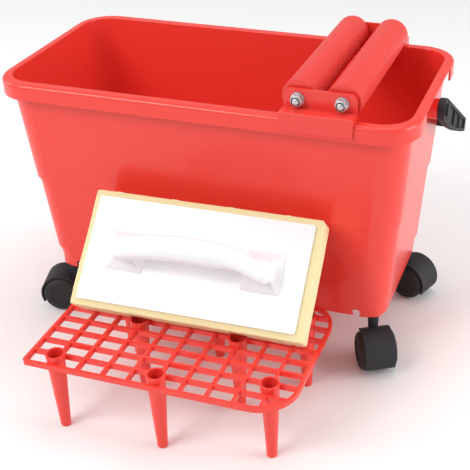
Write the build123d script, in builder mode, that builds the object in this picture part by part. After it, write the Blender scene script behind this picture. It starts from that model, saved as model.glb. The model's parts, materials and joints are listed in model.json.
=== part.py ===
from build123d import *
from math import cos, radians, sin
import os

# Tiler's wash set: a wheeled bucket with a clip-on roller wringer and a bail handle,
# a drip grid on legs that stands in front of it, and a sponge float that leans on both.
# Millimetres, +Z up, floor at Z = 0. Lengths run along X, and the grid is on the -Y side.

# ---- Tub ----
rim_length = 530.0
rim_width = 272.0
rim_height = 347.0
rim_corner = 46.0
rim_thickness = 3.2
rim_edge_round = 5.0
rim_lip_round = 1.2
end_overhang = 9.0
side_overhang = 11.5
skirt_depth = 20.0
skirt_wall = 2.5
skirt_gap_length = 144.0
base_height = 70.0
base_length = 456.0
base_width = 198.0
base_corner = 26.0
top_corner = 37.0
tub_wall = 3.0
lower_step_rise = 27.0
upper_step_rise = 136.0
step_size = 2.0
step_ledge = 3.0
floor_rise = 22.0
floor_thickness = 3.0
notch_radius = 5.5
notch_neck = 8.6
notch_rise = 4.5
notch_x = 194.0
boss_radius = 12.5

# ---- Bail handle and its pivots ----
bail_drop_angle = 30.5
pivot_below_rim = 28.0
pivot_shank_radius = 4.0
pivot_head_radius = 8.0
pivot_head_length = 3.6
pivot_grip_length = 11.0
pivot_end_gap = 0.5
pivot_head_gap = 0.4
pivot_head_round = 1.4
boss_to_bail_gap = 1.0
bail_thickness = 8.0
bail_band = 9.0
bail_belly = 16.5
bail_belly_place = 66.0
bail_flare = 10.5
bail_rim_gap = 15.0
bail_bow = 24.0
bail_corner_radius = 34.0
bail_hub_radius = 14.0
bail_pocket_depth = 2.4
bail_pocket_border = 4.0
bail_pocket_start = 20.0
bail_pocket_end = 116.0
bail_rib = 2.4
bail_rib_pitch = 32.0
bail_rib_count = 2
rim_to_bail_gap = 1.6

# ---- Castors ----
castor_x = 213.0
castor_y = 85.0
wheel_radius = 25.0
wheel_width = 16.5
wheel_round = 7.0
wheel_face_wall = 3.0
wheel_dish_radius = 13.5
wheel_dish_depth = 0.8
trail = 17.0
web_thickness = 13.0
wheel_side_gap = 0.5
hood_clearance = 1.2
hood_thickness = 2.4
hood_width = 38.0
hood_low_angle = -25.0
hood_high_angle = 128.0
axle_radius = 3.0
castor_socket_radius = 6.4
axle_boss_radius = 8.0
castor_socket_above_hood = 0.9
axle_end_gap = 0.6
castor_socket_bottom = 16.0
stem_radius = 4.0
stem_bottom = 24.0
stem_top_gap = 1.0
sleeve_radius = 6.8
sleeve_flange_radius = 9.5
sleeve_flange_thickness = 2.0
tub_socket_radius = 11.0
swivel_gap = 0.5
castor_headings = {
    "front_left": 196.0,
    "front_right": -62.0,
    "rear_left": 115.0,
    "rear_right": -20.0,
}

# ---- Roller wringer ----
wringer_x = 153.8
bracket_width = 85.6
bracket_wall = 3.2
bracket_lip_height = 22.0
bracket_rise = 8.0
upright_above_rim = 29.5
upright_corner = 9.0
inner_leg_depth = 22.0
roller_pitch = 51.7
roller_radius = 20.8
roller_wall = 3.0
roller_axis_above_rim = 17.8
roller_end_gap = 2.6
flute_count = 40
flute_radius = 1.15
rod_radius = 4.0
plug_length = 12.0
plug_hub_radius = 8.0
washer_radius = 8.0
washer_thickness = 1.6
nut_flats = 13.0
nut_height = 6.5
nut_collar_radius = 5.6
nut_collar_height = 1.8
rod_end_length = 1.4
flute_sink = 0.4

# ---- Drip grid ----
grid_top = 97.2
grid_depth = 207.0
grid_standoff = 26.3
grid_left = -139.0
grid_right = 182.0
grid_border = 4.0
grid_thickness = 6.5
grid_bar = 3.4
cross_pitch = 31.5
cross_bars = 9
first_leg_x = -102.5
long_bars = 8
grid_small_corner = 5.0
grid_large_corner = 46.0
leg_cup_rise = 7.4
leg_top_radius = 11.4
leg_foot_radius = 6.0
leg_foot_round = 2.0
leg_hollow_start = 12.0
leg_wall = 2.2
leg_row_inset = 14.4
right_leg_inset = 37.3

# ---- Sponge float ----
float_lean = 45.6
float_yaw = 1.2
float_x = 21.7
sponge_length = 290.0
sponge_width = 145.0
sponge_thickness = 34.0
sponge_round = 3.0
plate_inset = 8.3
plate_thickness = 3.0
plate_corner = 2.5
foot_length = 48.0
foot_width = 48.0
foot_height = 9.0
foot_spacing = 171.0
post_length = 27.0
post_width = 25.0
grip_length = 194.0
grip_width = 29.0
grip_height = 23.0
grip_clear = 38.0
grip_edge_round = 6.0
grip_end_drop = 22.0
grip_under_drop = 17.0
foot_slope = 45.0
post_round = 6.0
cup_relief_side = 1.5

# ---- Fits ----
press_clearance = 0.02
running_clearance = 0.06
seat_clearance = 0.4
rest_clearance = 0.5
# The float stops just short of the wall it leans towards.
float_wall_gap = 2.5

# ---- Worked out from the above ----
under_rim = rim_height - rim_thickness
wall_rise = under_rim - base_height
end_draft = (rim_length / 2 - end_overhang - base_length / 2 - 2 * step_size) / wall_rise
side_draft = (rim_width / 2 - side_overhang - base_width / 2 - 2 * step_size) / wall_rise
floor_top = base_height + floor_rise
pivot_height = rim_height - pivot_below_rim
bail_drop = radians(bail_drop_angle)
bail_middle_reach = (rim_width / 2 + bail_rim_gap) / cos(bail_drop)
bail_corner_reach = bail_middle_reach - bail_bow
bail_band_half = bail_band / 2
bail_inner_x = rim_length / 2 + rim_to_bail_gap
boss_end = bail_inner_x - boss_to_bail_gap
bail_outer_x = bail_inner_x + bail_thickness
bail_reach = bail_middle_reach * cos(bail_drop) + bail_band_half * sin(bail_drop)
grid_rear = -(base_width / 2 + grid_standoff)
grid_front = grid_rear - grid_depth
grid_centre = (grid_front + grid_rear) / 2
# The set's origin is the middle of its own outline on the floor.
tub_place = Location((0, (-grid_front - bail_reach) / 2, 0))

os.makedirs("parts", exist_ok=True)


def save(piece, name):
    """Labels a finished piece, puts it in the set's frame and writes its STEP file."""
    placed = piece.moved(tub_place)
    placed.label = name
    export_step(placed, f"parts/{name}.step")


def wall_size(height, steps, inset):
    """Length, width and corner radius of the tub's wall at a height, inset from its outer face."""
    rise = height - base_height
    length = base_length + 2 * (end_draft * rise + steps * step_size - inset)
    width = base_width + 2 * (side_draft * rise + steps * step_size - inset)
    corner = base_corner + (top_corner - base_corner) * rise / wall_rise - inset
    return length, width, corner


def wall_stage(low, high, steps, inset):
    """One drafted stage of the tub between two heights, inset from its outer face."""
    with BuildPart() as stage:
        with BuildSketch(Plane.XY.offset(low)):
            RectangleRounded(*wall_size(low, steps, inset))
        with BuildSketch(Plane.XY.offset(high)):
            RectangleRounded(*wall_size(high, steps, inset))
        loft()
    return stage.part


def half_width_at(height):
    """Distance from the tub's middle to the outer face of its long wall at a height."""
    steps = (height > base_height + lower_step_rise) + (height > base_height + upper_step_rise)
    return wall_size(height, steps, 0)[1] / 2


# ---------------------------------------------------------------- tub
lower_step = base_height + lower_step_rise
upper_step = base_height + upper_step_rise
floor_bottom = floor_top - floor_thickness
outer_stages = [
    wall_stage(base_height, lower_step, 0, 0),
    wall_stage(lower_step, upper_step, 1, 0),
    wall_stage(upper_step, under_rim, 2, 0),
]
# The hollow follows the outside one wall thickness in, with its steps a little higher.
hollow_stages = [
    wall_stage(floor_top, lower_step + step_ledge, 0, tub_wall),
    wall_stage(lower_step + step_ledge, upper_step + step_ledge, 1, tub_wall),
    wall_stage(upper_step + step_ledge, rim_height, 2, tub_wall),
    wall_stage(base_height, floor_bottom, 0, tub_wall),
]
with BuildPart() as tub:
    add(outer_stages)
    with BuildSketch(Plane.XY.offset(under_rim)):
        RectangleRounded(rim_length, rim_width, rim_corner)
    extrude(amount=rim_thickness)
    with BuildSketch(Plane.XY.offset(rim_height - skirt_depth)):
        RectangleRounded(rim_length, rim_width, rim_corner)
        RectangleRounded(
            rim_length - 2 * skirt_wall,
            rim_width - 2 * skirt_wall,
            rim_corner - skirt_wall,
            mode=Mode.SUBTRACT,
        )
    extrude(amount=skirt_depth - rim_thickness)
    fillet(tub.edges().group_by(Axis.Z)[-1], radius=rim_edge_round)
    add(hollow_stages, mode=Mode.SUBTRACT)
    fillet(tub.faces().sort_by(Axis.Z)[-1].inner_wires()[0].edges(), radius=rim_lip_round)
    # Skirt cut away at both short ends, where the handle's hubs sit.
    with BuildSketch(Plane.XY.offset(rim_height - skirt_depth)):
        with Locations((rim_length / 2, 0), (-rim_length / 2, 0)):
            Rectangle(2 * (skirt_wall + 1), skirt_gap_length)
    extrude(amount=skirt_depth - rim_thickness, mode=Mode.SUBTRACT)
    # Bosses for the handle's pivots, bored for the shanks.
    for side in (1, -1):
        wall_x = wall_size(pivot_height, 2, tub_wall / 2)[0] / 2
        with BuildSketch(Plane.YZ.offset(side * wall_x)):
            with Locations((0, pivot_height)):
                Circle(boss_radius)
        extrude(amount=side * (boss_end - wall_x))
        with BuildSketch(Plane.YZ.offset(side * boss_end)):
            with Locations((0, pivot_height)):
                Circle(pivot_shank_radius + press_clearance)
        extrude(amount=-side * pivot_grip_length, mode=Mode.SUBTRACT)
    # Sockets under the floor for the castor stems.
    with BuildSketch(Plane.XY.offset(base_height)):
        with GridLocations(2 * castor_x, 2 * castor_y, 2, 2):
            Circle(tub_socket_radius)
    extrude(until=Until.NEXT)
    with BuildSketch(Plane.XY.offset(base_height)):
        with GridLocations(2 * castor_x, 2 * castor_y, 2, 2):
            Circle(stem_radius + press_clearance)
    extrude(amount=floor_rise - floor_thickness, mode=Mode.SUBTRACT)
    # Keyhole notches in the lower edge of the long sides.
    with BuildSketch(Plane.XZ.offset(-base_width)):
        with Locations((notch_x, base_height + notch_rise), (-notch_x, base_height + notch_rise)):
            Circle(notch_radius)
            with Locations((0, -notch_rise)):
                Rectangle(notch_neck, 2 * notch_rise)
    extrude(amount=2 * base_width, mode=Mode.SUBTRACT)
save(tub.part, "tub")

# ---------------------------------------------------------------- bail handle
bail_plane = Plane(origin=(0, 0, pivot_height), x_dir=(1, 0, 0), z_dir=(0, sin(bail_drop), cos(bail_drop)))
# The same directions seen along +X: X runs down the arm and Y across its band.
arm_plane = Plane(origin=(0, 0, pivot_height), x_dir=(0, cos(bail_drop), -sin(bail_drop)), z_dir=(1, 0, 0))


def bail_region(grow):
    """Flat outline of the bail in its own plane, grown outwards from its inner edge."""
    foot = bail_inner_x + grow
    corner = (foot + bail_flare, bail_corner_reach - bail_thickness + grow)
    middle = (0, bail_middle_reach - bail_thickness + grow)
    with BuildSketch() as region:
        with BuildLine():
            Polyline((-corner[0], corner[1]), (-foot, 0), (foot, 0), corner)
            ThreePointArc(corner, middle, (-corner[0], corner[1]))
        make_face()
        far_corners = region.vertices().group_by(Axis.Y)[-1]
        fillet(far_corners, radius=bail_corner_radius - bail_thickness + grow)
    return region.sketch


# Side of the arm: broad at the hub, with a belly below, and narrow from the corner on.
with BuildSketch() as arm_side:
    with BuildLine():
        Line((0, bail_hub_radius), (bail_corner_reach, bail_band_half))
        Line((bail_corner_reach, bail_band_half), (2 * bail_middle_reach, bail_band_half))
        Line((2 * bail_middle_reach, bail_band_half), (2 * bail_middle_reach, -bail_band_half))
        Line((2 * bail_middle_reach, -bail_band_half), (bail_corner_reach, -bail_band_half))
        belly = (bail_belly_place, -bail_belly)
        ThreePointArc((bail_corner_reach, -bail_band_half), belly, (0, -bail_hub_radius))
        ThreePointArc((0, -bail_hub_radius), (-bail_hub_radius, 0), (0, bail_hub_radius))
    make_face()
# Pockets that leave a border, and ribs between them.
with BuildSketch() as arm_pocket:
    offset(arm_side.sketch, amount=-bail_pocket_border)
    with Locations(((bail_pocket_start + bail_pocket_end) / 2, 0)):
        Rectangle(bail_pocket_end - bail_pocket_start, 4 * bail_hub_radius, mode=Mode.INTERSECT)
        with GridLocations(bail_rib_pitch, 0, bail_rib_count, 1):
            Rectangle(bail_rib, 4 * bail_hub_radius, mode=Mode.SUBTRACT)
with BuildPart() as bail_pockets:
    with BuildSketch(bail_plane):
        add(bail_region(bail_thickness))
        add(bail_region(bail_thickness - bail_pocket_depth), mode=Mode.SUBTRACT)
        add(bail_region(bail_pocket_depth))
        add(bail_region(0), mode=Mode.SUBTRACT)
    extrude(amount=2 * bail_hub_radius, both=True)
    with BuildSketch(arm_plane):
        add(arm_pocket.sketch)
    extrude(amount=rim_length, both=True, mode=Mode.INTERSECT)
with BuildPart() as bail:
    with BuildSketch(bail_plane):
        add(bail_region(bail_thickness))
        add(bail_region(0), mode=Mode.SUBTRACT)
    extrude(amount=2 * bail_hub_radius, both=True)
    with BuildSketch(arm_plane):
        add(arm_side.sketch)
    extrude(amount=rim_length, both=True, mode=Mode.INTERSECT)
    add(bail_pockets.part, mode=Mode.SUBTRACT)
    for side in (1, -1):
        with BuildSketch(Plane.YZ.offset(side * bail_inner_x)):
            with Locations((0, pivot_height)):
                Circle(bail_hub_radius)
        extrude(amount=side * bail_thickness)
    with BuildSketch(Plane.YZ.offset(-rim_length)):
        with Locations((0, pivot_height)):
            Circle(pivot_shank_radius + running_clearance)
    extrude(amount=2 * rim_length, mode=Mode.SUBTRACT)
    # The arms flare outwards, so each hub is spot-faced for its pivot's head.
    for side in (1, -1):
        with BuildSketch(Plane.YZ.offset(side * bail_outer_x)):
            with Locations((0, pivot_height)):
                Circle(bail_hub_radius)
        extrude(amount=side * bail_flare, mode=Mode.SUBTRACT)
save(bail.part, "bail_handle")

with BuildPart() as pivots:
    for side in (1, -1):
        head_start = bail_outer_x + pivot_head_gap
        with BuildSketch(Plane.YZ.offset(side * head_start)):
            with Locations((0, pivot_height)):
                Circle(pivot_head_radius)
        extrude(amount=side * pivot_head_length)
        with BuildSketch(Plane.YZ.offset(side * head_start)):
            with Locations((0, pivot_height)):
                Circle(pivot_shank_radius)
        extrude(amount=-side * (head_start - boss_end + pivot_grip_length - pivot_end_gap))
    rims = pivots.edges().filter_by(GeomType.CIRCLE).sort_by(Axis.X)
    fillet([rims[0], rims[-1]], radius=pivot_head_round)
save(pivots.part, "bail_pivots")

# ---------------------------------------------------------------- castors
hood_inner = wheel_radius + hood_clearance
hood_outer = hood_inner + hood_thickness
castor_socket_top = wheel_radius + hood_outer + castor_socket_above_hood
wheel_inner_face = web_thickness / 2 + wheel_side_gap
wheel_bore_end = wheel_inner_face + wheel_width - wheel_dish_depth - wheel_face_wall


def hood_sector(inner, outer):
    """Part ring about the axle, from low behind the wheels up and over their tops."""
    centre = Vector(trail, wheel_radius)
    span = hood_high_angle - hood_low_angle
    with BuildSketch() as sector:
        with BuildLine():
            CenterArc(centre, outer, hood_low_angle, span)
            if inner:
                CenterArc(centre, inner, hood_low_angle, span)
            for angle in (hood_low_angle, hood_high_angle):
                spoke = Vector(1, 0).rotate(Axis.Z, angle)
                Line(centre + spoke * inner, centre + spoke * outer)
        make_face()
    return sector.sketch


hood_ring = hood_sector(hood_inner, hood_outer)
hood_web = hood_sector(0, hood_outer)
with BuildPart() as castor_housing:
    with BuildSketch(Plane.XZ):
        add(hood_ring)
    extrude(amount=hood_width / 2, both=True)
    with BuildSketch(Plane.XZ):
        add(hood_web)
        with Locations((trail, wheel_radius)):
            Circle(axle_boss_radius)
    extrude(amount=web_thickness / 2, both=True)
    with BuildSketch(Plane.XY.offset(castor_socket_bottom)):
        Circle(castor_socket_radius)
    extrude(amount=castor_socket_top - castor_socket_bottom)
    with BuildSketch(Plane.XY.offset(stem_bottom)):
        Circle(stem_radius + running_clearance)
    extrude(amount=castor_socket_top, mode=Mode.SUBTRACT)
    with BuildSketch(Plane.XZ):
        with Locations((trail, wheel_radius)):
            Circle(axle_radius + press_clearance)
    extrude(amount=hood_width, both=True, mode=Mode.SUBTRACT)

with BuildPart() as castor_axle:
    with BuildSketch(Plane.XZ):
        with Locations((trail, wheel_radius)):
            Circle(axle_radius)
    extrude(amount=wheel_bore_end - axle_end_gap, both=True)


def castor_wheel(side):
    """One wheel of a castor, with a rounded outer edge, a shallow dish and a blind bore."""
    with BuildPart() as wheel:
        with BuildSketch(Plane.XZ.offset(-side * wheel_inner_face)):
            with Locations((trail, wheel_radius)):
                Circle(wheel_radius)
        extrude(amount=-side * wheel_width)
        outer_face = wheel.faces().sort_by(Axis.Y)[-1 if side > 0 else 0]
        fillet(outer_face.edges(), radius=wheel_round)
        with BuildSketch(Plane.XZ.offset(-side * (wheel_inner_face + wheel_width))):
            with Locations((trail, wheel_radius)):
                Circle(wheel_dish_radius)
        extrude(amount=side * wheel_dish_depth, mode=Mode.SUBTRACT)
        with BuildSketch(Plane.XZ):
            with Locations((trail, wheel_radius)):
                Circle(axle_radius + running_clearance)
        extrude(amount=wheel_bore_end, both=True, mode=Mode.SUBTRACT)
    return wheel.part


for corner, heading in castor_headings.items():
    x = castor_x if corner.endswith("right") else -castor_x
    y = castor_y if corner.startswith("rear") else -castor_y
    place = Location((x, y, 0), (0, 0, heading))
    save(castor_housing.part.moved(place), f"castor_{corner}_housing")
    save(castor_axle.part.moved(place), f"castor_{corner}_axle")
    save(castor_wheel(1).moved(place), f"castor_{corner}_wheel_a")
    save(castor_wheel(-1).moved(place), f"castor_{corner}_wheel_b")

with BuildPart() as castor_stems:
    with BuildSketch(Plane.XY.offset(stem_bottom + swivel_gap)):
        with GridLocations(2 * castor_x, 2 * castor_y, 2, 2):
            Circle(stem_radius)
    extrude(amount=floor_bottom - stem_top_gap - stem_bottom - swivel_gap)
save(castor_stems.part, "castor_stems")

with BuildPart() as castor_sleeves:
    sleeve_bottom = castor_socket_top + swivel_gap
    with BuildSketch(Plane.XY.offset(sleeve_bottom)):
        with GridLocations(2 * castor_x, 2 * castor_y, 2, 2):
            Circle(sleeve_radius)
    extrude(amount=base_height - sleeve_bottom)
    with BuildSketch(Plane.XY.offset(base_height - sleeve_flange_thickness)):
        with GridLocations(2 * castor_x, 2 * castor_y, 2, 2):
            Circle(sleeve_flange_radius)
    extrude(amount=sleeve_flange_thickness)
    with BuildSketch(Plane.XY.offset(sleeve_bottom)):
        with GridLocations(2 * castor_x, 2 * castor_y, 2, 2):
            Circle(stem_radius + press_clearance)
    extrude(amount=base_height - sleeve_bottom, mode=Mode.SUBTRACT)
save(castor_sleeves.part, "castor_sleeves")

# ---------------------------------------------------------------- roller wringer
ledge_top = rim_height + bracket_rise
ledge_bottom = ledge_top - bracket_wall
lip_inner = rim_width / 2 + seat_clearance
lip_outer = lip_inner + bracket_wall
leg_bottom = rim_height - inner_leg_depth
upright_outer = wall_size(leg_bottom, 2, tub_wall)[1] / 2 - seat_clearance
upright_inner = upright_outer - bracket_wall
upright_top = rim_height + upright_above_rim
roller_axis = rim_height + roller_axis_above_rim
roller_half = upright_inner - roller_end_gap
rod_half = upright_outer + washer_thickness + nut_height + rod_end_length
roller_places = {"left": wringer_x - roller_pitch / 2, "right": wringer_x + roller_pitch / 2}


def bracket(side):
    """Moulded end bracket that hooks over the rim; side is +1 at the rear and -1 at the front."""
    outline = [
        (lip_inner, ledge_top - bracket_lip_height),
        (lip_outer, ledge_top - bracket_lip_height),
        (lip_outer, ledge_top),
        (upright_outer, ledge_top),
        (upright_outer, upright_top),
        (upright_inner, upright_top),
        (upright_inner, leg_bottom),
        (upright_outer, leg_bottom),
        (upright_outer, ledge_bottom),
        (lip_inner, ledge_bottom),
    ]
    with BuildPart() as piece:
        with BuildSketch(Plane.YZ.offset(wringer_x)) as profile:
            with BuildLine():
                Polyline([(side * y, z) for y, z in outline], close=True)
            make_face()
            shoulder = profile.vertices().sort_by_distance(Vector(side * lip_outer, ledge_top))[0]
            fillet(shoulder, radius=bracket_wall / 2)
        extrude(amount=bracket_width / 2, both=True)
        top_corners = piece.edges().filter_by(Axis.Y).group_by(Axis.Z)[-1]
        fillet(top_corners, radius=upright_corner)
        # Ribs under the ledge stand on the rim.
        with BuildSketch(Plane.XY.offset(rim_height + seat_clearance)):
            with Locations((wringer_x, side * (lip_inner + upright_outer) / 2)):
                with GridLocations((bracket_width - bracket_wall) / 2, 0, 3, 1):
                    Rectangle(bracket_wall, lip_inner - upright_outer)
        extrude(amount=ledge_bottom - rim_height - seat_clearance)
        with BuildSketch(Plane.XZ):
            with Locations(*[(x, roller_axis) for x in roller_places.values()]):
                Circle(rod_radius + press_clearance)
        extrude(amount=rim_width, both=True, mode=Mode.SUBTRACT)
    return piece.part


save(bracket(-1), "wringer_front_bracket")
save(bracket(1), "wringer_rear_bracket")

with BuildPart() as rods:
    with BuildSketch(Plane.XZ):
        with Locations(*[(x, roller_axis) for x in roller_places.values()]):
            Circle(rod_radius)
    extrude(amount=rod_half, both=True)
save(rods.part, "wringer_rods")

for name, x in roller_places.items():
    with BuildPart() as roller:
        with BuildSketch(Plane.XZ):
            with Locations((x, roller_axis)):
                Circle(roller_radius)
                Circle(roller_radius - roller_wall, mode=Mode.SUBTRACT)
                with PolarLocations(roller_radius + flute_sink * flute_radius, flute_count):
                    Circle(flute_radius, mode=Mode.SUBTRACT)
        extrude(amount=roller_half, both=True)
    save(roller.part, f"wringer_roller_{name}")
    with BuildPart() as plugs:
        for side in (1, -1):
            with BuildSketch(Plane.XZ.offset(side * roller_half)):
                with Locations((x, roller_axis)):
                    Circle(roller_radius - roller_wall - press_clearance)
            extrude(amount=-side * plug_length)
            with BuildSketch(Plane.XZ.offset(side * roller_half)):
                with Locations((x, roller_axis)):
                    Circle(plug_hub_radius)
            extrude(amount=side * (roller_end_gap - seat_clearance))
        with BuildSketch(Plane.XZ):
            with Locations((x, roller_axis)):
                Circle(rod_radius + running_clearance)
        extrude(amount=rim_width, both=True, mode=Mode.SUBTRACT)
    save(plugs.part, f"wringer_plugs_{name}")

with BuildPart() as washers:
    for side in (1, -1):
        with BuildSketch(Plane.XZ.offset(side * upright_outer)):
            with Locations(*[(x, roller_axis) for x in roller_places.values()]):
                Circle(washer_radius)
                Circle(rod_radius + press_clearance, mode=Mode.SUBTRACT)
        extrude(amount=side * washer_thickness)
save(washers.part, "wringer_washers")

with BuildPart() as nuts:
    for side in (1, -1):
        seat = upright_outer + washer_thickness
        with BuildSketch(Plane.XZ.offset(side * seat)):
            with Locations(*[(x, roller_axis) for x in roller_places.values()]):
                RegularPolygon(radius=nut_flats / 2, side_count=6, major_radius=False)
                Circle(rod_radius + press_clearance, mode=Mode.SUBTRACT)
        extrude(amount=side * nut_height)
        with BuildSketch(Plane.XZ.offset(side * (seat + nut_height))):
            with Locations(*[(x, roller_axis) for x in roller_places.values()]):
                Circle(nut_collar_radius)
                Circle(rod_radius + press_clearance, mode=Mode.SUBTRACT)
        extrude(amount=side * nut_collar_height)
save(nuts.part, "wringer_nuts")

# ---------------------------------------------------------------- drip grid
leg_height = grid_top + leg_cup_rise
right_leg_x = first_leg_x + (cross_bars - 1) * cross_pitch
leg_places = []
for side in (1, -1):
    row = side * (grid_depth / 2 - leg_row_inset)
    leg_places.append((first_leg_x, grid_centre + row))
    leg_places.append((first_leg_x + 4 * cross_pitch, grid_centre + row))
    leg_places.append((right_leg_x, grid_centre + side * (grid_depth / 2 - right_leg_inset)))
middle_cups = [first_leg_x + 2 * cross_pitch, first_leg_x + 6 * cross_pitch]
leg_places += [(x, grid_centre) for x in middle_cups]
bar_pitch = (grid_depth - grid_border) / (long_bars + 1)

with BuildSketch() as grid_outline:
    with Locations(((grid_left + grid_right) / 2, grid_centre)):
        Rectangle(grid_right - grid_left, grid_depth)
    fillet(grid_outline.vertices().group_by(Axis.X)[0], radius=grid_small_corner)
    fillet(grid_outline.vertices().group_by(Axis.X)[-1], radius=grid_large_corner)
with BuildSketch() as grid_cells:
    offset(grid_outline.sketch, amount=-grid_border)
    with Locations(*[(first_leg_x + k * cross_pitch, grid_centre) for k in range(cross_bars)]):
        Rectangle(grid_bar, grid_depth, mode=Mode.SUBTRACT)
    with Locations(((grid_left + grid_right) / 2, grid_centre)):
        with GridLocations(0, bar_pitch, 1, long_bars):
            Rectangle(grid_right - grid_left, grid_bar, mode=Mode.SUBTRACT)
with BuildPart() as grid:
    with BuildSketch(Plane.XY.offset(grid_top - grid_thickness)):
        add(grid_outline.sketch)
        add(grid_cells.sketch, mode=Mode.SUBTRACT)
    extrude(amount=grid_thickness)
    with Locations(*leg_places):
        Cone(leg_foot_radius, leg_top_radius, leg_height, align=(Align.CENTER, Align.CENTER, Align.MIN))
    fillet(grid.edges().filter_by(GeomType.CIRCLE).group_by(Axis.Z)[0], radius=leg_foot_round)
    leg_flare = (leg_top_radius - leg_foot_radius) / leg_height
    foot_inner = leg_foot_radius + leg_flare * leg_hollow_start - leg_wall
    with Locations(*[(x, y, leg_hollow_start) for x, y in leg_places]):
        Cone(
            foot_inner,
            leg_top_radius - leg_wall,
            leg_height - leg_hollow_start,
            align=(Align.CENTER, Align.CENTER, Align.MIN),
            mode=Mode.SUBTRACT,
        )
save(grid.part, "drip_grid")

# ---------------------------------------------------------------- sponge float
lean = radians(float_lean)
yaw = radians(float_yaw)
along = Vector(cos(yaw), sin(yaw), 0)
upward = Vector(-sin(yaw) * cos(lean), cos(yaw) * cos(lean), sin(lean))
outward = along.cross(upward)
# The top edge leans on the tub's wall and the bottom edge stands on the grid.
edge_height = grid_top + rest_clearance
top_edge_height = edge_height + sponge_width * sin(lean)
wall_line = -(half_width_at(top_edge_height) + float_wall_gap)
foot_y = wall_line - sponge_width * cos(yaw) * cos(lean) - sponge_length / 2 * sin(yaw)
float_origin = Vector(float_x, foot_y, edge_height)
cup_relief_depth = (leg_cup_rise + rest_clearance) / sin(lean)
cup_relief_reach = (leg_cup_rise + rest_clearance) / cos(lean)


def float_plane(height):
    """Plane of the float at a height above its back face: X along it, Y up its slope."""
    return Plane(origin=float_origin + outward * height, x_dir=along, z_dir=outward)


with BuildPart() as sponge:
    with BuildSketch(float_plane(0)):
        with Locations((0, sponge_width / 2)):
            RectangleRounded(sponge_length, sponge_width, sponge_round)
    extrude(amount=sponge_thickness)
    # Reliefs that clear the cups of the grid's legs, however far up its slope the foam meets them.
    with BuildSketch(float_plane(-1)):
        for cup_x in middle_cups:
            with Locations(((cup_x - float_x) / cos(yaw), 0)):
                Rectangle(2 * (leg_top_radius + cup_relief_side), 2 * cup_relief_depth)
    extrude(amount=cup_relief_reach + 1, mode=Mode.SUBTRACT)
save(sponge.part, "float_sponge")

with BuildPart() as plate:
    with BuildSketch(float_plane(sponge_thickness)):
        with Locations((0, sponge_width / 2)):
            RectangleRounded(sponge_length - 2 * plate_inset, sponge_width - 2 * plate_inset, plate_corner)
    extrude(amount=plate_thickness)
save(plate.part, "float_plate")

plate_face = sponge_thickness + plate_thickness
grip_low = plate_face + grip_clear
grip_plane = Plane(origin=float_origin + upward * (sponge_width / 2), x_dir=along, z_dir=-upward)
with BuildPart() as handle:
    with BuildSketch(float_plane(plate_face)):
        with Locations((0, sponge_width / 2)):
            with GridLocations(foot_spacing, 0, 2, 1):
                Rectangle(foot_length, foot_width)
    extrude(amount=foot_height, taper=foot_slope)
    with BuildSketch(float_plane(plate_face)):
        with Locations((0, sponge_width / 2)):
            with GridLocations(foot_spacing, 0, 2, 1):
                RectangleRounded(post_length, post_width, post_round)
    extrude(amount=grip_clear)
    with BuildSketch(grip_plane) as grip_side:
        half = grip_length / 2
        end_low = grip_low - grip_under_drop
        end_high = grip_low + grip_height - grip_end_drop
        with BuildLine():
            ThreePointArc((-half, end_low), (0, grip_low), (half, end_low))
            Line((half, end_low), (half, end_high))
            ThreePointArc((half, end_high), (0, grip_low + grip_height), (-half, end_high))
            Line((-half, end_high), (-half, end_low))
        make_face()
        fillet(grip_side.vertices(), radius=grip_edge_round)
    extrude(amount=grip_width / 2, both=True)
save(handle.part, "float_handle")
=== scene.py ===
import json
import math

import bpy
import numpy as np
from bpy.props import FloatProperty, FloatVectorProperty, PointerProperty
from bpy.types import Operator, Panel, PropertyGroup
from mathutils import Matrix, Vector, noise


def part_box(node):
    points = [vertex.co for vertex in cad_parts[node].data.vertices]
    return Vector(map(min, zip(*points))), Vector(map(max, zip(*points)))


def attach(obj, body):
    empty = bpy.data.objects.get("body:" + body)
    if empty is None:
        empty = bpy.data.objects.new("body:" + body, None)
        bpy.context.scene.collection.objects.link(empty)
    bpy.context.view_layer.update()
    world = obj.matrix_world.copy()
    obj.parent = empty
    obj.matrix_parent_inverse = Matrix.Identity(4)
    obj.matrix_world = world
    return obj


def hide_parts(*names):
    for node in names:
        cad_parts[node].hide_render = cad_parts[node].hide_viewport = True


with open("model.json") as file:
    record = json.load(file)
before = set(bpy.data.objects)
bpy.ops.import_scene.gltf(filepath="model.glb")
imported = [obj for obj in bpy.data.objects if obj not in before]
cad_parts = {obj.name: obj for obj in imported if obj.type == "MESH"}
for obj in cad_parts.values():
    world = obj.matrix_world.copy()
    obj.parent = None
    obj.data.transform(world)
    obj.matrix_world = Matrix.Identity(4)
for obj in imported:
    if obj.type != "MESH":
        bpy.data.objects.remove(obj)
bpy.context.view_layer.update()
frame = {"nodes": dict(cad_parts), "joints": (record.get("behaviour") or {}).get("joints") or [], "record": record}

bl_info = {
    "name": "Wash Set Looks",
    "version": (1, 0, 0),
    "blender": (4, 5, 0),
    "location": "View3D > Sidebar > Wash Set",
    "description": "Finishes, foam, float handle, nuts and studio for a wheeled wash set",
    "category": "Object",
}

MM = 0.001
NODES = frame["nodes"]
BODIES = frame["record"]["behaviour"]["bodies"]
JOINTS = {joint["name"]: joint for joint in frame["joints"]}
SET_MIDDLE = (0, 0, 0.2)
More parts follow.
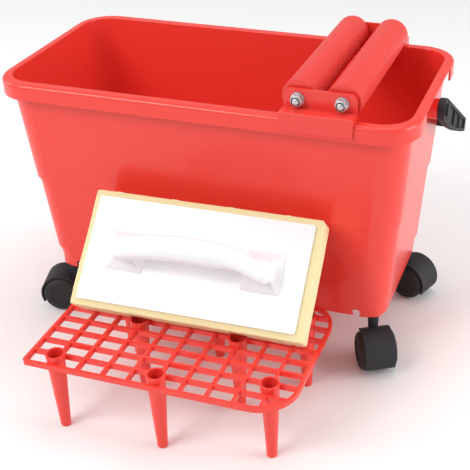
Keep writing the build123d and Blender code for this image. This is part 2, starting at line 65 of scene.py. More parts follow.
# Name, place, the point it faces, width, height and power of each soft light.
LIGHTS = (
    ("key_light", (-1.5, -2.0, 2.4), SET_MIDDLE, 1.8, 1.4, 54),
    ("right_light", (2.3, 0.3, 0.9), (0.2, 0.1, 0.25), 1.3, 1.8, 30),
    ("left_light", (-2.3, 0.0, 1.2), SET_MIDDLE, 1.2, 1.6, 12),
    ("top_light", (0.2, 0.6, 2.6), SET_MIDDLE, 1.8, 1.4, 18),
)
FLOOR_REACH = 12.0
SLOT_OF = {part["node"]: part["material_slot"] for part in frame["record"]["subparts"]}
BODY_OF = {node: body for body, nodes in BODIES.items() for node in nodes}


# ---------------------------------------------------------------- settings
def colour(name, description, default):
    """A colour setting, linear red, green and blue."""
    return FloatVectorProperty(
        name=name, description=description, default=default, subtype="COLOR", size=3, min=0, max=1
    )


def size(name, description, default):
    """A length setting in metres."""
    return FloatProperty(name=name, description=description, default=default, unit="LENGTH", precision=4)


def share(name, description, default):
    """A setting from 0 to 1."""
    return FloatProperty(name=name, description=description, default=default, subtype="FACTOR", min=0, max=1)


class WashSetFinish(PropertyGroup):
    """Colours and gloss of the set's finishes."""

    red: colour("Red plastic", "Colour of the tub, grid and wringer mouldings", (0.92, 0.009, 0.006))
    red_gloss: share("Red roughness", "Roughness of the red mouldings", 0.24)
    black: colour("Black plastic", "Colour of the bail handle and castor housings", (0.021, 0.020, 0.023))
    wheel: colour("Wheel plastic", "Colour of the castor wheels", (0.012, 0.011, 0.013))
    white: colour("White plastic", "Colour of the float's plate and handle", (0.70, 0.685, 0.715))
    foam: colour("Foam", "Colour of the float's sponge", (0.92, 0.74, 0.42))
    # Painted shade: a darker colour laid into the foam's pores.
    pore_shade: colour("Foam pores", "Colour in the depth of the foam's pores", (0.60, 0.36, 0.14))
    zinc: colour("Zinc", "Colour of the zinc plated steel", (0.50, 0.52, 0.56))
    edge_radius: size("Edge radius", "Radius of the moulded edges", 0.9 * MM)


class WashSetFoam(PropertyGroup):
    """Sizes of the float's foam block."""

    voxel: size("Mesh size", "Grid size of the foam's mesh", 1.5 * MM)
    pore_size: size("Pore size", "Distance between the foam's pores", 3.4 * MM)
    pore_depth: size("Pore depth", "Depth of the largest pores", 0.8 * MM)
    waviness: size("Waviness", "Depth of the foam's uneven cut faces", 0.3 * MM)


class WashSetHandle(PropertyGroup):
    """Sizes of the float's moulded handle."""

    foot: size("Foot", "Side of each square foot", 48 * MM)
    foot_rise: size("Foot rise", "Height of each foot's slope", 9 * MM)
    post: size("Post", "Width of each post", 25 * MM)
    grip_width: size("Grip width", "Width of the grip at its middle", 29.5 * MM)
    grip_height: size("Grip height", "Height of the grip's section at its middle", 23 * MM)


class WashSetNuts(PropertyGroup):
    """Sizes of the wringer's lock nuts and the rods' threaded ends."""

    collar: size("Collar radius", "Radius of the nut's plastic collar", 5.7 * MM)
    lip: size("Collar lip", "Thickness of the metal lip round the nylon insert", 0.45 * MM)
    chamfer: size("Chamfer", "Drop of the nut's chamfered corners", 0.9 * MM)
    thread_pitch: size("Thread pitch", "Pitch of the rods' thread", 1.25 * MM)


class WashSetStudio(PropertyGroup):
    """Camera and lights."""

    camera: FloatVectorProperty(
        name="Camera",
        description="Camera's place from the tub's middle",
        default=(0.45792, -1.1099, 0.81072),
        subtype="XYZ",
    )
    heading: FloatProperty(
        name="Heading", description="Turn of the view from +Y", default=math.radians(18.75), subtype="ANGLE"
    )
    tilt: FloatProperty(
        name="Tilt", description="How far the view looks down", default=math.radians(29.44), subtype="ANGLE"
    )
    roll: FloatProperty(
        name="Roll", description="Turn about the view", default=math.radians(-0.96), subtype="ANGLE"
    )
    lens: FloatProperty(name="Lens", description="Focal length", default=77.64, unit="CAMERA")
    shift: FloatVectorProperty(name="Shift", description="Lens shift", default=(-0.1264, -0.0514), size=2)
    air: FloatProperty(name="Air", description="Strength of the even light all round", default=0.5)
    floor: colour("Floor", "Colour of the pale floor", (0.93, 0.93, 0.93))


GROUPS = {
    "finish": WashSetFinish,
    "foam": WashSetFoam,
    "handle": WashSetHandle,
    "nuts": WashSetNuts,
    "studio": WashSetStudio,
}


class WashSetSettings(PropertyGroup):
    """Every setting of the wash set."""

    finish: PointerProperty(type=WashSetFinish)
    foam: PointerProperty(type=WashSetFoam)
    handle: PointerProperty(type=WashSetHandle)
    nuts: PointerProperty(type=WashSetNuts)
    studio: PointerProperty(type=WashSetStudio)


# ---------------------------------------------------------------- shader effects shared by the finishes
def link(tree, start, end):
    """Joins an output to an input, each given as (node, socket name)."""
    tree.links.new(start[0].outputs[start[1]], end[0].inputs[end[1]])


def node(tree, kind, links=(), **values):
    """A node with its values set, and its inputs joined to the outputs given."""
    made = tree.nodes.new(kind)
    for key, value in values.items():
        if key.startswith("in_"):
            made.inputs[int(key[3:])].default_value = value
        else:
            setattr(made, key, value)
    for index, (source, output) in dict(links).items():
        tree.links.new(source.outputs[output], made.inputs[index])
    return made


def effect(name, inputs, outputs):
    """An empty effect group with its sockets. Returns it with its input and output nodes."""
    group = bpy.data.node_groups.new(name, "ShaderNodeTree")
    for label, kind, default in inputs:
        socket = group.interface.new_socket(label, in_out="INPUT", socket_type=kind)
        socket.default_value = default
    for label, kind in outputs:
        group.interface.new_socket(label, in_out="OUTPUT", socket_type=kind)
    return group, group.nodes.new("NodeGroupInput"), group.nodes.new("NodeGroupOutput")


def moulded_grain():
    """Fine mould texture over slow waviness, with a gloss mask that drifts over the surface."""
    name = "Moulded Grain"
    if name in bpy.data.node_groups:
        return bpy.data.node_groups[name]
    group, given, out = effect(
        name,
        [
            ("Grain", "NodeSocketFloat", 900.0),
            ("Waves", "NodeSocketFloat", 14.0),
            ("Mix", "NodeSocketFloat", 0.5),
        ],
        [("Height", "NodeSocketFloat"), ("Gloss", "NodeSocketFloat")],
    )
    place = node(group, "ShaderNodeTexCoord")
    fine = node(
        group,
        "ShaderNodeTexNoise",
        {"Vector": (place, "Object"), "Scale": (given, "Grain")},
        in_3=3.0,
        in_4=0.6,
    )
    slow = node(
        group,
        "ShaderNodeTexNoise",
        {"Vector": (place, "Object"), "Scale": (given, "Waves")},
        in_3=2.0,
        in_4=0.5,
    )
    height = node(
        group,
        "ShaderNodeMix",
        {0: (given, "Mix"), 2: (slow, "Fac"), 3: (fine, "Fac")},
        data_type="FLOAT",
    )
    patches = node(group, "ShaderNodeTexNoise", {"Vector": (place, "Object")}, in_2=34.0, in_3=5.0, in_4=0.62)
    gloss = node(group, "ShaderNodeMapRange", {0: (patches, "Fac")}, in_1=0.32, in_2=0.68)
    link(group, (height, "Result"), (out, "Height"))
    link(group, (gloss, "Result"), (out, "Gloss"))
    return group


def soft_edges():
    """Rounded moulded edges as a normal, and a broken mask along them that pales their colour: partly edge wear,
    partly painted highlight.
    """
    name = "Soft Edges"
    if name in bpy.data.node_groups:
        return bpy.data.node_groups[name]
    group, given, out = effect(
        name,
        [("Radius", "NodeSocketFloat", 0.001), ("Breakup", "NodeSocketFloat", 120.0)],
        [("Normal", "NodeSocketVector"), ("Wear and Highlight", "NodeSocketFloat")],
    )
    place = node(group, "ShaderNodeTexCoord")
    rounded = node(group, "ShaderNodeBevel", {"Radius": (given, "Radius")}, samples=5)
    flat = node(group, "ShaderNodeNewGeometry")
    alike = node(
        group, "ShaderNodeVectorMath", {0: (rounded, "Normal"), 1: (flat, "Normal")}, operation="DOT_PRODUCT"
    )
    edge = node(group, "ShaderNodeMapRange", {0: (alike, "Value")}, in_1=0.995, in_2=0.80)
    breakup = node(
        group,
        "ShaderNodeTexNoise",
        {"Vector": (place, "Object"), "Scale": (given, "Breakup")},
        in_3=4.0,
        in_4=0.7,
    )
    patchy = node(group, "ShaderNodeMapRange", {0: (breakup, "Fac")}, in_1=0.36, in_2=0.66)
    # The broken edge mask pales the colour along edges: partly wear, partly painted highlight.
    wear_and_highlight = node(group, "ShaderNodeMath", {0: (edge, "Result"), 1: (patchy, "Result")}, operation="MULTIPLY")
    link(group, (rounded, "Normal"), (out, "Normal"))
    link(group, (wear_and_highlight, "Value"), (out, "Wear and Highlight"))
    return group


def fine_scratches():
    """Sparse fine scratches in two directions, as a mask."""
    name = "Fine Scratches"
    if name in bpy.data.node_groups:
        return bpy.data.node_groups[name]
    group, given, out = effect(
        name,
        [("Density", "NodeSocketFloat", 60.0), ("Amount", "NodeSocketFloat", 0.5)],
        [("Mask", "NodeSocketFloat")],
    )
    place = node(group, "ShaderNodeTexCoord")
    layers = []
    for turn in ((0.3, 0.9, 0.4), (1.1, -0.5, 1.9)):
        bent = node(group, "ShaderNodeMapping", {0: (place, "Object")}, in_2=turn, in_3=(1.0, 14.0, 14.0))
        lines = node(
            group, "ShaderNodeTexNoise", {"Vector": (bent, "Vector"), "Scale": (given, "Density")}, in_3=1.0
        )
        layers.append(node(group, "ShaderNodeMapRange", {0: (lines, "Fac")}, in_1=0.70, in_2=0.76))
    both = node(
        group,
        "ShaderNodeMath",
        {0: (layers[0], "Result"), 1: (layers[1], "Result")},
        operation="MAXIMUM",
    )
    faded = node(group, "ShaderNodeMath", {0: (both, "Value"), 1: (given, "Amount")}, operation="MULTIPLY")
    link(group, (faded, "Value"), (out, "Mask"))
    return group


def place_effect(tree, group, **values):
    """An effect group placed in a material with its own values."""
    made = tree.nodes.new("ShaderNodeGroup")
    made.node_tree = group
    for key, value in values.items():
        made.inputs[key].default_value = value
    return made


# ---------------------------------------------------------------- finishes
def new_finish(name):
    """An empty material with its principled shader. Returns the material, its tree and the shader."""
    made = bpy.data.materials.new(name)
    made.use_nodes = True
    tree = made.node_tree
    return made, tree, tree.nodes["Principled BSDF"]


def mixed(tree, mask, first, second):
    """Colour that goes from first to second by a mask; each colour is a value or a node's output."""
    mix = node(tree, "ShaderNodeMix", data_type="RGBA")
    tree.links.new(mask, mix.inputs[0])
    for index, paint in ((6, first), (7, second)):
        if isinstance(paint, bpy.types.NodeSocket):
            tree.links.new(paint, mix.inputs[index])
        else:
            mix.inputs[index].default_value = (*paint, 1)
    return mix.outputs[2]


def moulded(name, paint, rough, grain=900.0, waves=14.0, grain_mix=0.35, relief=0.05, deep=0.86, pale=0.10):
    """Injection moulded plastic: mould grain, drifting gloss, edges paled partly by wear and partly by painted
    highlight, and fine scratches.
    """
    made, tree, shader = new_finish(name)
    settings = bpy.context.scene.wash_set.finish
    grain_node = place_effect(tree, moulded_grain(), Grain=grain, Waves=waves, Mix=grain_mix)
    edges = place_effect(tree, soft_edges(), Radius=settings.edge_radius)
    scratches = place_effect(tree, fine_scratches(), Amount=0.5)
    darker = tuple(channel * deep for channel in paint)
    # Paler edge colour: partly edge wear, partly painted highlight.
    paler = tuple(channel + (1 - channel) * pale for channel in paint)
    body = mixed(tree, grain_node.outputs["Gloss"], darker, tuple(paint))
    edged = mixed(tree, edges.outputs["Wear and Highlight"], body, paler)
    tree.links.new(edged, shader.inputs["Base Color"])
    rougher = node(
        tree, "ShaderNodeMapRange", {0: (grain_node, "Gloss")}, in_3=rough * 1.15, in_4=rough * 0.88
    )
    scuffed = node(
        tree,
        "ShaderNodeMath",
        {0: (scratches, "Mask"), 2: (rougher, "Result")},
        operation="MULTIPLY_ADD",
        in_1=0.22,
    )
    tree.links.new(scuffed.outputs[0], shader.inputs["Roughness"])
    bump = node(tree, "ShaderNodeBump", {"Height": (grain_node, "Height"), "Normal": (edges, "Normal")})
    bump.inputs["Strength"].default_value = relief
    bump.inputs["Distance"].default_value = MM
    link(tree, (bump, "Normal"), (shader, "Normal"))
    return made, tree, shader


def make_red(name, rough, **kwargs):
    """Glossy red moulding with a thin clear skin."""
    made, _, shader = moulded(name, bpy.context.scene.wash_set.finish.red, rough, **kwargs)
    shader.inputs["Specular IOR Level"].default_value = 0.2
    shader.inputs["Coat Weight"].default_value = 0.14
    shader.inputs["Coat Roughness"].default_value = 0.09
    return made


def make_steel(name):
    """Bright zinc plate: drawn lines, cloudy passivation and a metal shine."""
    made, tree, shader = new_finish(name)
    settings = bpy.context.scene.wash_set.finish
    grain_node = place_effect(tree, moulded_grain(), Grain=2600.0, Waves=220.0, Mix=0.6)
    edges = place_effect(tree, soft_edges(), Radius=0.35 * MM, Breakup=700.0)
    scratches = place_effect(tree, fine_scratches(), Density=420.0, Amount=0.8)
    dull = tuple(channel * 0.72 for channel in settings.zinc)
    body = mixed(tree, grain_node.outputs["Gloss"], dull, tuple(settings.zinc))
    # Near-white edge colour: partly worn plating, partly painted highlight on the rounded edges.
    bright = mixed(tree, edges.outputs["Wear and Highlight"], body, (0.86, 0.87, 0.88))
    tree.links.new(bright, shader.inputs["Base Color"])
    shader.inputs["Metallic"].default_value = 1.0
    rougher = node(tree, "ShaderNodeMapRange", {0: (grain_node, "Gloss")}, in_3=0.34, in_4=0.2)
    scuffed = node(
        tree,
        "ShaderNodeMath",
        {0: (scratches, "Mask"), 2: (rougher, "Result")},
        operation="MULTIPLY_ADD",
        in_1=0.2,
    )
    tree.links.new(scuffed.outputs[0], shader.inputs["Roughness"])
    bump = node(tree, "ShaderNodeBump", {"Height": (grain_node, "Height"), "Normal": (edges, "Normal")})
    bump.inputs["Strength"].default_value = 0.12
    bump.inputs["Distance"].default_value = 0.3 * MM
    link(tree, (bump, "Normal"), (shader, "Normal"))
    return made


def make_foam(name):
    """Open cell foam: pores of several sizes that dent the surface and carry painted shade, with a soft sheen."""
    made, tree, shader = new_finish(name)
    settings = bpy.context.scene.wash_set.finish
    place = node(tree, "ShaderNodeTexCoord")
    warp = node(tree, "ShaderNodeTexNoise", {"Vector": (place, "Object")}, in_2=420.0, in_3=2.0)
    bent = node(
        tree,
        "ShaderNodeVectorMath",
        {0: (warp, "Color"), 2: (place, "Object")},
        operation="MULTIPLY_ADD",
        in_1=(0.0009, 0.0009, 0.0009),
    )
    big = node(tree, "ShaderNodeTexVoronoi", {"Vector": (bent, "Vector")}, in_2=360.0)
    small = node(tree, "ShaderNodeTexVoronoi", {"Vector": (bent, "Vector")}, in_2=1150.0)
    pits = node(tree, "ShaderNodeMapRange", {0: (big, "Distance")}, in_1=0.12, in_2=0.46)
    holes = node(tree, "ShaderNodeMapRange", {0: (small, "Distance")}, in_1=0.1, in_2=0.5)
    depth = node(tree, "ShaderNodeMath", {0: (pits, "Result"), 1: (holes, "Result")}, operation="MULTIPLY")
    clouds = node(tree, "ShaderNodeTexNoise", {"Vector": (place, "Object")}, in_2=26.0, in_3=3.0)
    warm = tuple(min(1.0, channel * scale) for channel, scale in zip(settings.foam, (1.0, 0.93, 0.90)))
    base = mixed(tree, clouds.outputs["Fac"], warm, tuple(settings.foam))
    # Painted shade: the pits are mixed toward the darker pore colour.
    shade = node(tree, "ShaderNodeMapRange", {0: (depth, "Value")}, in_3=0.55, in_4=0.0)
    tinted = mixed(tree, shade.outputs["Result"], base, tuple(settings.pore_shade))
    tree.links.new(tinted, shader.inputs["Base Color"])
    rougher = node(tree, "ShaderNodeMapRange", {0: (depth, "Value")}, in_3=0.98, in_4=0.82)
    link(tree, (rougher, "Result"), (shader, "Roughness"))
    bump = node(tree, "ShaderNodeBump", {"Height": (depth, "Value")})
    bump.inputs["Strength"].default_value = 0.55
    bump.inputs["Distance"].default_value = 0.5 * MM
    link(tree, (bump, "Normal"), (shader, "Normal"))
    shader.inputs["Sheen Weight"].default_value = 0.25
    shader.inputs["Sheen Roughness"].default_value = 0.5
    shader.inputs["Specular IOR Level"].default_value = 0.2
    return made


def finish_for(slot):
    """The finish of a material slot, made the first time it is asked for."""
    if slot in bpy.data.materials:
        return bpy.data.materials[slot]
    settings = bpy.context.scene.wash_set.finish
    rough = settings.red_gloss
    if slot == "tub_red":
        return make_red(slot, rough)
    if slot == "grid_red":
        return make_red(slot, rough * 0.9, waves=40.0)
    if slot == "wringer_red":
        return make_red(slot, rough * 1.2, grain=1400.0, waves=60.0, relief=0.08)
    if slot == "moulded_black":
        return moulded(slot, settings.black, 0.42, grain=1600.0, grain_mix=0.7, relief=0.16, pale=0.05)[0]
    if slot == "wheel_black":
        return moulded(slot, settings.wheel, 0.30, grain=900.0, relief=0.06, pale=0.04)[0]
    if slot == "float_white":
        # Strong paler edges on the white plate: partly wear, mostly painted highlight.
        return moulded(slot, settings.white, 0.34, waves=24.0, deep=0.975, pale=0.45)[0]
    if slot == "sponge_foam":
        return make_foam(slot)
    return make_steel(slot)


def dress(names):
    """Gives CAD nodes the finish of their slots."""
    for name in names:
        mesh = NODES[name].data
        mesh.materials.clear()
        mesh.materials.append(finish_for(SLOT_OF[name]))


# ---------------------------------------------------------------- mesh helpers
def piece_of(name, points, faces, body, slot, stands_for=()):
    """A new visible piece from its points and faces, on its body, with its slot's finish."""
    mesh = bpy.data.meshes.new(name)
    mesh.from_pydata([tuple(point) for point in points], [], faces)
    mesh.validate()
    mesh.materials.append(finish_for(slot))
    made = bpy.data.objects.new(name, mesh)
    bpy.context.scene.collection.objects.link(made)
    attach(made, body)
    if stands_for:
        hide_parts(*stands_for)
    return made


def smooth(piece, angle):
    """Smooth shading, with edges sharper than the angle kept."""
    piece.data.polygons.foreach_set("use_smooth", [True] * len(piece.data.polygons))
    piece.data.set_sharp_from_angle(angle=math.radians(angle))
    piece.data.update()


def ring_faces(rings, around, start=0):
    """Quads between rings of points, and a closing face at both ends."""
    faces = []
    for row in range(rings - 1):
        low, high = start + row * around, start + (row + 1) * around
        for k in range(around):
            after = (k + 1) % around
            faces.append((low + k, low + after, high + after, high + k))
    faces.append(tuple(start + k for k in reversed(range(around))))
    faces.append(tuple(start + (rings - 1) * around + k for k in range(around)))
    return faces


def oval(half_a, half_b, power, around):
    """Points of an oval that squares up as its power grows."""
    points = []
    for k in range(around):
        turn = 2 * math.pi * (k + 0.5) / around
        c, s = math.cos(turn), math.sin(turn)
        points.append(
            (
                half_a * math.copysign(abs(c) ** (2 / power), c),
                half_b * math.copysign(abs(s) ** (2 / power), s),
            )
        )
    return points


def eased(x, table):
    """Smoothly interpolated rows of a table at x; the first column is x."""
    rows = np.array(table, float)
    xs, slopes = rows[:, 0], np.gradient(rows[:, 1:], rows[:, 0], axis=0)
    k = int(np.clip(np.searchsorted(xs, x) - 1, 0, len(xs) - 2))
    step = xs[k + 1] - xs[k]
    t = (x - xs[k]) / step
    a, b = rows[k, 1:], rows[k + 1, 1:]
    h = (2 * t**3 - 3 * t**2 + 1, t**3 - 2 * t**2 + t, -2 * t**3 + 3 * t**2, t**3 - t**2)
    return h[0] * a + h[1] * step * slopes[k] + h[2] * b + h[3] * step * slopes[k + 1]


# ---------------------------------------------------------------- where the float lies
def float_axes():
    """The float's own directions: along its length, up its slope and out of its plate."""
    outward = Vector(JOINTS["float_lift"]["axis"]).normalized()
    along = Vector((0, 0, 1)).cross(outward).normalized()
    return along, outward.cross(along), outward


def reach(node_name, axis):
    """Lowest and highest place of a CAD node along a direction."""
    places = [vertex.co.dot(axis) for vertex in NODES[node_name].data.vertices]
    return min(places), max(places)


def float_point(u, v, n):
    """A point of the float, from the middle of its plate's outer face."""
    along, upward, outward = float_axes()
    u_low, u_high = reach("float_plate", along)
    v_low, v_high = reach("float_plate", upward)
    face = reach("float_plate", outward)[1]
    return along * ((u_low + u_high) / 2 + u) + upward * ((v_low + v_high) / 2 + v) + outward * (face + n)


# ---------------------------------------------------------------- operators
class WASHSET_OT_tub(Operator):
    """Dresses the tub in its glossy red."""

    bl_idname = "washset.tub"
    bl_label = "Tub"

    def execute(self, context):
        dress(["tub"])
        return {"FINISHED"}


class WASHSET_OT_bail(Operator):
    """Dresses the bail handle and its pivots."""

    bl_idname = "washset.bail"
    bl_label = "Bail handle"

    def execute(self, context):
        dress(["bail_handle", "bail_pivots"])
        return {"FINISHED"}


class WASHSET_OT_castors(Operator):
    """Dresses the castors, their stems and sleeves."""

    bl_idname = "washset.castors"
    bl_label = "Castors"

    def execute(self, context):
        dress([name for name in NODES if name.startswith("castor_")])
        return {"FINISHED"}


class WASHSET_OT_wringer(Operator):
    """Dresses the wringer, and builds its lock nuts around the threaded rod ends."""

    bl_idname = "washset.wringer"
    bl_label = "Wringer"

    def nut(self, settings, across, height, radius):
        """Points and faces of one lock nut and the rod end inside it, standing on Z = 0."""
        around = 60
        corner = across / math.sqrt(3)
        profile = [
            (0.0, across / 2 * 0.97),
            (0.3 * MM, across / 2 + 0.2 * MM),
            (settings.chamfer, corner),
            (height - settings.chamfer, corner),
            (height - 0.25 * MM, across / 2 + 0.1 * MM),
            (height, across / 2 * 0.95),
        ]
        collar = settings.collar
        lip = collar - settings.lip
        profile += [
            (height + 0.05 * MM, collar + 0.1 * MM),
            (height + 1.1 * MM, collar),
            (height + 1.5 * MM, collar - 0.15 * MM),
            (height + 1.6 * MM, lip + 0.1 * MM),
            (height + 1.5 * MM, lip),
            (height + 0.6 * MM, lip),
        ]
        points = []
        for rise, limit in profile:
            for k in range(around):
                turn = 2 * math.pi * k / around
                sixth = (turn + math.pi / 6) % (math.pi / 3) - math.pi / 6
                flat = across / 2 / math.cos(sixth)
                far = min(flat, limit) if rise <= height else limit
                points.append((far * math.cos(turn + math.pi / 6), far * math.sin(turn + math.pi / 6), rise))
        faces = ring_faces(len(profile), around)
        start = len(points)
        rings = 26
        length = 3.4 * MM
        for row in range(rings):
            rise = height - 0.4 * MM + length * row / (rings - 1)
            end = max(0.0, row - rings + 7) / 6
            for k in range(around):
                turn = 2 * math.pi * k / around
                wave = math.cos(2 * math.pi * rise / settings.thread_pitch - turn) * (1 - end)
                far = (radius - 0.22 * MM + 0.18 * MM * wave) * (1 - 0.34 * end**2)
                points.append((far * math.cos(turn), far * math.sin(turn), rise))
        faces += ring_faces(rings, around, start)
        return points, faces

    def insert(self, settings, height, radius):
        """Points and faces of the nylon ring that locks one nut."""
        around = 40
        far = settings.collar - settings.lip
        near = radius + 0.05 * MM
        profile = [
            (height + 0.5 * MM, near),
            (height + 0.5 * MM, far),
            (height + 1.0 * MM, far),
            (height + 1.25 * MM, far - 0.3 * MM),
            (height + 1.25 * MM, near + 0.3 * MM),
            (height + 1.05 * MM, near),
        ]
        points = []
        for rise, limit in profile:
            for k in range(around):
                turn = 2 * math.pi * k / around
                points.append((limit * math.cos(turn), limit * math.sin(turn), rise))
        return points, ring_faces(len(profile), around)

    def execute(self, context):
        dress([name for name in NODES if name.startswith("wringer_")])
        settings = context.scene.wash_set.nuts
        low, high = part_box("wringer_nuts")
        washer_low, washer_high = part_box("wringer_washers")
        rod_low, rod_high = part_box("wringer_rods")
        across = high.z - low.z
        radius = (rod_high.z - rod_low.z) / 2
        spine = (low.z + high.z) / 2
        height = high.y - washer_high.y - 1.8 * MM
        nut = self.nut(settings, across, height, radius)
        insert = self.insert(settings, height, radius)
        for name, shape, slot, stands_for in (
            ("lock_nuts", nut, "zinc_steel", ["wringer_nuts"]),
            ("lock_nut_inserts", insert, "moulded_black", []),
        ):
            points, faces = [], []
            for roller in ("wringer_roller_left", "wringer_roller_right"):
                roller_low, roller_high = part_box(roller)
                x = (roller_low.x + roller_high.x) / 2
                for side, seat in ((-1, washer_low.y), (1, washer_high.y)):
                    start = len(points)
                    points += [(x + px, seat + side * pz, spine + side * py) for px, py, pz in shape[0]]
                    for face in shape[1]:
                        turned = tuple(start + k for k in face)
                        faces.append(turned[::-1] if side > 0 else turned)
            made = piece_of(name, points, faces, "wringer", slot, stands_for)
            smooth(made, 28)
        return {"FINISHED"}


class WASHSET_OT_grid(Operator):
    """Dresses the drip grid."""

    bl_idname = "washset.grid"
    bl_label = "Drip grid"

    def execute(self, context):
        dress(["drip_grid"])
        return {"FINISHED"}


class WASHSET_OT_sponge(Operator):
    """Builds the foam block: rounded, cut a little unevenly, and open pored."""

    bl_idname = "washset.sponge"
    bl_label = "Sponge"

    def execute(self, context):
        settings = context.scene.wash_set.foam
        name = "float_sponge"
        mesh = NODES[name].data.copy()
        mesh.name = "foam_block"
        made = bpy.data.objects.new("foam_block", mesh)
        context.scene.collection.objects.link(made)
        remesh = made.modifiers.new("Remesh", "REMESH")
        remesh.mode = "VOXEL"
        remesh.voxel_size = settings.voxel * 1.0
        soften = made.modifiers.new("Soften", "SMOOTH")
        soften.iterations = 4
        soften.factor = 0.5
        context.view_layer.update()
        made.data = bpy.data.meshes.new_from_object(made.evaluated_get(context.evaluated_depsgraph_get()))
        made.modifiers.clear()
        mesh = made.data
        mesh.name = "foam_block"
        mesh.materials.clear()
        mesh.materials.append(finish_for(SLOT_OF[name]))
        normals = [vertex.normal.copy() for vertex in mesh.vertices]
        for vertex, normal in zip(mesh.vertices, normals):
            spot = vertex.co / settings.pore_size
            cell = noise.voronoi(spot)[0][0]
            pit = max(0.0, 1 - cell / 0.42) ** 0.7 if noise.cell(spot) >= 0 else 0.0
            wave = 0.5 + 0.5 * noise.noise(vertex.co * 28.0)
            vertex.co -= normal * (settings.pore_depth * pit + settings.waviness * wave)
        smooth(made, 180)
        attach(made, BODY_OF[name])
        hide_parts(name)
        return {"FINISHED"}


class WASHSET_OT_handle(Operator):
    """Dresses the float's plate, and builds its handle: two flared feet and an arched grip."""

    bl_idname = "washset.handle"
    bl_label = "Float handle"

    def grip(self, settings):
        """Points and faces of the arched grip: thick at its nose, with a thin neck before its tip."""
        wide = settings.grip_width / 2 / MM
        tall = settings.grip_height / 2 / MM
        # Place along the float, up its slope and out of its plate in millimetres, then the shares of
        # the grip's full height and width there.
        spine = [
            (-94, -4.0, 25.5, 0.80, 0.84),
            (-84, -2.4, 28.6, 0.90, 0.93),
            (-70, -0.4, 32.8, 0.95, 0.97),
            (-49, 2.0, 38.4, 0.98, 1.00),
            (-9, 3.5, 46.4, 1.00, 1.00),
            (20, 3.5, 47.6, 1.00, 1.00),
            (44, 3.5, 45.8, 0.97, 0.96),
            (57, 3.8, 42.4, 0.82, 0.90),
            (66, 2.6, 36.6, 0.66, 0.84),
            (80, -1.6, 28.4, 0.56, 0.80),
            (92, -4.8, 22.4, 0.52, 0.78),
            (101, -6.4, 19.4, 0.48, 0.72),
        ]
        first, last = spine[0][0], spine[-1][0]
        nose_round, tip_round = 9.0, 6.0
        end_share, squareness = 0.06, 2.5
        around, stations = 48, 110
        points = []
        for k in range(stations):
            u = first + (last - first) * (1 - math.cos(math.pi * k / (stations - 1))) / 2
            up, middle, high, broad = eased(u, spine)
            inside = min((u - first) / nose_round, (last - u) / tip_round, 1.0)
            rounding = max(end_share, math.sqrt(max(0.0, 1 - (1 - inside) ** 2)))
            for v, n in oval(wide * broad * rounding, tall * high * rounding, squareness, around):
                points.append((u * MM, (up + v) * MM, (middle + n) * MM))
        return points, ring_faces(stations, around)

    def foot(self, settings, middle, height):
        """Points and faces of one foot and its post."""
        side = settings.foot / 2 / MM
        rise = settings.foot_rise / MM
        post = settings.post / 2 / MM
        # Height, half length, half width and squareness of each level, in millimetres.
        levels = [
            (-0.05, side, side, 40),
            (1.1, side, side, 40),
            (1.5, side - 0.5, side - 0.5, 36),
            (rise * 0.45, side * 0.80, side * 0.79, 24),
            (rise * 0.8, side * 0.66, side * 0.64, 14),
            (rise, post * 1.12, post * 1.06, 8),
            (rise + 2, post * 1.03, post * 0.96, 6),
            (rise + 5, post * 0.98, post * 0.90, 5),
            (height * 0.7, post * 0.94, post * 0.86, 5),
            (height, post * 0.90, post * 0.82, 5),
        ]
        around = 72
        points = []
        for level, a, b, power in levels:
            points += [((middle + u) * MM, v * MM, level * MM) for u, v in oval(a, b, power, around)]
        return points, ring_faces(len(levels), around)

    def execute(self, context):
        dress(["float_plate"])
        settings = context.scene.wash_set.handle
        along = float_axes()[0]
        low, high = reach("float_handle", along)
        spread = (high - low) / 2 - settings.foot / 2
        points, faces = self.grip(settings)
        for middle, height in ((-spread / MM, 27.0), (spread / MM, 24.0)):
            own_points, own_faces = self.foot(settings, middle, height)
            start = len(points)
            points += own_points
            faces += [tuple(start + k for k in face) for face in own_faces]
        placed = [float_point(*point) for point in points]
        made = piece_of("handle_moulding", placed, faces, "float", "float_white", ["float_handle"])
        smooth(made, 38)
        return {"FINISHED"}


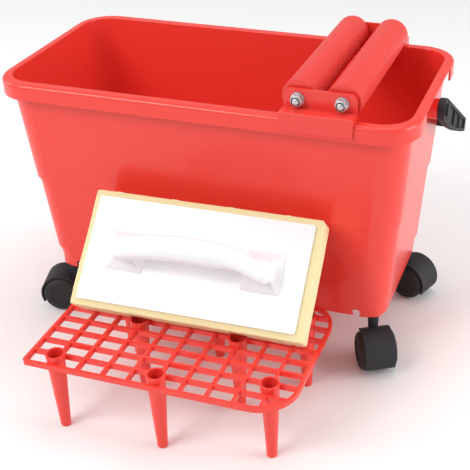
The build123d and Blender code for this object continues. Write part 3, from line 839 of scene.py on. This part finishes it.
class WASHSET_OT_stage(Operator):
    """Lays the pale floor, and sets the lights and the camera."""

    bl_idname = "washset.stage"
    bl_label = "Studio"

    def soft_light(self, name, place, aim, width, height, power):
        """A large soft light that faces a point."""
        light = bpy.data.lights.new(name, "AREA")
        light.shape = "RECTANGLE"
        light.size = width
        light.size_y = height
        light.energy = power
        made = bpy.data.objects.new(name, light)
        made.location = place
        made.rotation_mode = "QUATERNION"
        made.rotation_quaternion = (Vector(aim) - Vector(place)).to_track_quat("-Z", "Y")
        bpy.context.scene.collection.objects.link(made)

    def floor(self, settings):
        """A wide floor whose paint drifts a little."""
        mesh = bpy.data.meshes.new("studio_floor")
        far = FLOOR_REACH
        corners = [(-far, -far, 0), (far, -far, 0), (far, far, 0), (-far, far, 0)]
        mesh.from_pydata(corners, [], [(0, 1, 2, 3)])
        made = bpy.data.objects.new("studio_floor", mesh)
        bpy.context.scene.collection.objects.link(made)
        paint, tree, shader = new_finish("studio_floor")
        grain_node = place_effect(tree, moulded_grain(), Grain=160.0, Waves=3.0, Mix=0.2)
        darker = tuple(channel * 0.99 for channel in settings.floor)
        tone = mixed(tree, grain_node.outputs["Gloss"], darker, tuple(settings.floor))
        tree.links.new(tone, shader.inputs["Base Color"])
        shader.inputs["Roughness"].default_value = 0.75
        shader.inputs["Specular IOR Level"].default_value = 0.25
        mesh.materials.append(paint)

    def execute(self, context):
        settings = context.scene.wash_set.studio
        self.floor(settings)
        world = bpy.data.worlds.new("studio_air")
        world.use_nodes = True
        world.node_tree.nodes["Background"].inputs["Color"].default_value = (1, 1, 1, 1)
        world.node_tree.nodes["Background"].inputs["Strength"].default_value = settings.air
        context.scene.world = world
        for light in LIGHTS:
            self.soft_light(*light)
        camera = bpy.data.objects.new("camera", bpy.data.cameras.new("camera"))
        context.scene.collection.objects.link(camera)
        camera.data.sensor_width = 36.0
        camera.data.lens = settings.lens
        camera.data.shift_x, camera.data.shift_y = settings.shift
        camera.data.clip_start = 0.05
        turn = Matrix.Rotation(settings.heading, 3, "Z")
        turn = turn @ Matrix.Rotation(math.pi / 2 - settings.tilt, 3, "X")
        turn = turn @ Matrix.Rotation(settings.roll, 3, "Z")
        tub_low, tub_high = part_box("tub")
        middle_y = (tub_low.y + tub_high.y) / 2
        camera.matrix_world = Matrix.Translation(settings.camera + Vector((0, middle_y, 0))) @ turn.to_4x4()
        context.scene.camera = camera
        context.scene.view_settings.view_transform = "Standard"
        return {"FINISHED"}


OPERATORS = (
    WASHSET_OT_tub,
    WASHSET_OT_bail,
    WASHSET_OT_castors,
    WASHSET_OT_wringer,
    WASHSET_OT_grid,
    WASHSET_OT_sponge,
    WASHSET_OT_handle,
    WASHSET_OT_stage,
)


class WASHSET_PT_panel(Panel):
    """Settings and steps of the wash set."""

    bl_idname = "WASHSET_PT_panel"
    bl_label = "Wash Set"
    bl_space_type = "VIEW_3D"
    bl_region_type = "UI"
    bl_category = "Wash Set"

    def draw(self, context):
        settings = context.scene.wash_set
        for name, group in GROUPS.items():
            box = self.layout.box()
            box.label(text=name.capitalize())
            for key in group.__annotations__:
                box.prop(getattr(settings, name), key)
        for operator in OPERATORS:
            self.layout.operator(operator.bl_idname)


CLASSES = (*GROUPS.values(), WashSetSettings, *OPERATORS, WASHSET_PT_panel)


def register():
    for item in CLASSES:
        bpy.utils.register_class(item)
    bpy.types.Scene.wash_set = PointerProperty(type=WashSetSettings)


def unregister():
    del bpy.types.Scene.wash_set
    for item in reversed(CLASSES):
        bpy.utils.unregister_class(item)


def main():
    """Builds the looks in order."""
    register()
    for operator in OPERATORS:
        group, name = operator.bl_idname.split(".")
        getattr(getattr(bpy.ops, group), name)()


if __name__ == "__main__":
    main()
